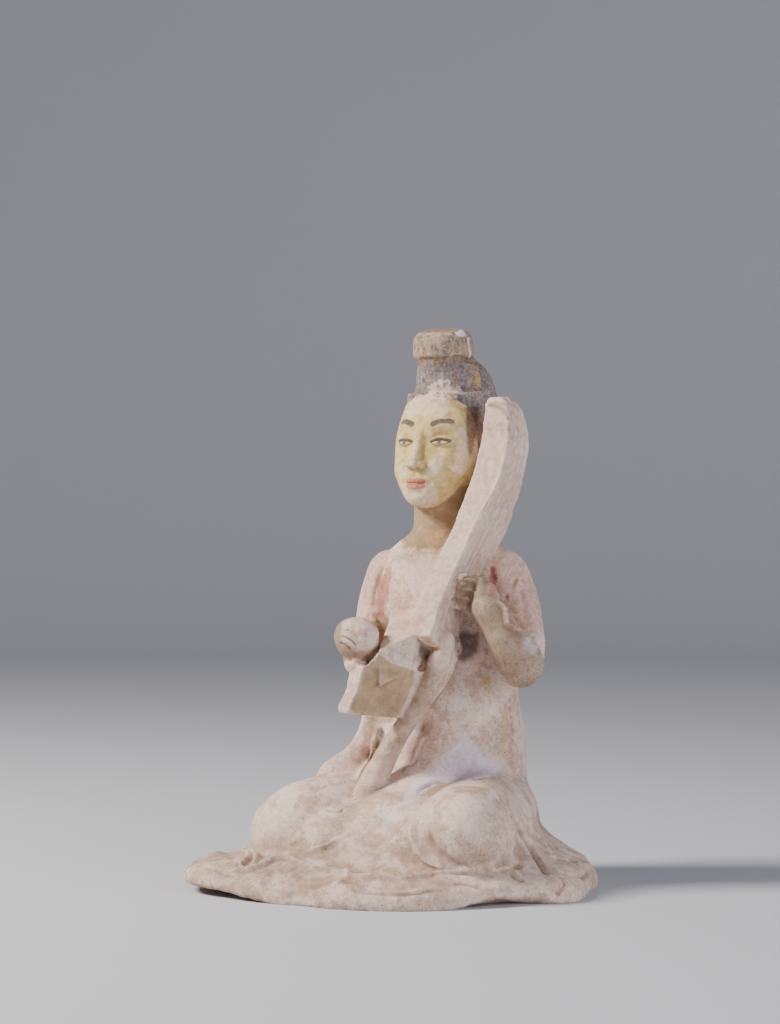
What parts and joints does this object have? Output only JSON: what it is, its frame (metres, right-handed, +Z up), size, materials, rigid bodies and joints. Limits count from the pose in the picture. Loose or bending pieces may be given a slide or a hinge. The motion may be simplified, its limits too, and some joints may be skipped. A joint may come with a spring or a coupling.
{
  "type": "tomb musician figure",
  "caption": "Kneeling earthenware musician who plays an angular harp, with a tall knot of hair and a robe that spreads into a flat hem.",
  "frame": {"origin": "middle of the figure's bounding box in plan, on the ground that the robe's underside rests on", "axes": "+Z up, -Y the way the figure faces, +X towards the figure's left side, where the harp leans"},
  "size_m": [0.2124, 0.204, 0.3],
  "materials": {
    "earthenware": "unglazed, white slip with worn red, ochre and black paint"
  },
  "bodies": {
    "root": {"musician_figure": "earthenware"}
  },
  "joints": []
}
